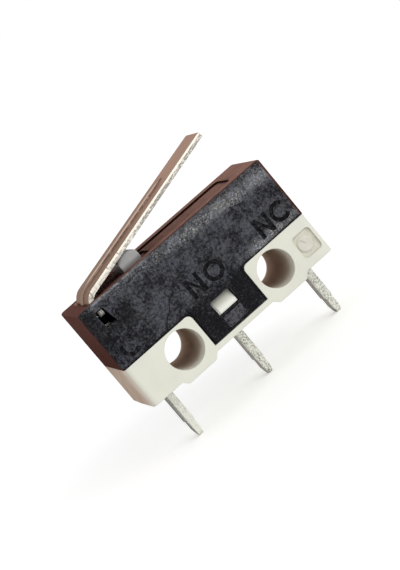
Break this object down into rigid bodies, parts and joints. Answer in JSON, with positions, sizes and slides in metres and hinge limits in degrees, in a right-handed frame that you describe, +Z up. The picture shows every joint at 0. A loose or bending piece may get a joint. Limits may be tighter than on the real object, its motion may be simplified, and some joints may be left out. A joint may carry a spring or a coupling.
{
  "type": "lever micro switch",
  "caption": "Subminiature snap-action switch with a hinged lever, a changeover contact, solder pins and cross holes for screws.",
  "frame": {"origin": "on the axis of the mounting hole at the common end, midway through the body's width", "axes": "+X along the body to the normally-closed end, +Y along the mounting holes to the back face, +Z up to the plunger and lever; the solder pins point to -Z"},
  "size_m": [0.0128, 0.0058, 0.0126],
  "materials": {
    "base_plastic": "fine moulded",
    "cover_plastic": "satin moulded",
    "plunger_plastic": "smooth",
    "lever_steel": "rolled",
    "terminal_metal": "tin plated",
    "spring_metal": "rolled",
    "contact_silver": "polished"
  },
  "bodies": {
    "housing": {"base": "base_plastic", "cover": "cover_plastic", "common_terminal": "terminal_metal", "no_terminal": "terminal_metal", "nc_terminal": "terminal_metal", "no_contact": "contact_silver", "nc_contact": "contact_silver"},
    "lever": {"lever": "lever_steel"},
    "plunger": {"plunger": "plunger_plastic"},
    "blade": {"snap_blade": "spring_metal", "moving_contact": "contact_silver"}
  },
  "joints": [
    {"name": "lever_pivot", "type": "hinge", "parent": "housing", "child": "lever", "pos_m": [-0.0021, 0, 0.00434], "axis": [0, 1, 0], "range_deg": [0, 12], "stiffness_Nm_per_rad": 0.02},
    {"name": "plunger_slide", "type": "slide", "parent": "housing", "child": "plunger", "axis": [0, 0, -1], "range_m": [0, 0.000668], "stiffness_N_per_m": 0.005, "springref_m": -0.0178},
    {"name": "blade_snap", "type": "hinge", "parent": "housing", "child": "blade", "pos_m": [-0.00205, 0, 0.00279], "axis": [0, 1, 0], "range_deg": [0, 3.22], "stiffness_Nm_per_rad": 0.0000015, "springref_deg": -36.1}
  ],
  "couplings": [
    {"joint": "plunger_slide", "follows": "lever_pivot", "m_per_rad": 0.003188},
    {"joint": "blade_snap", "follows": "lever_pivot", "ratio": 0.2675}
  ]
}
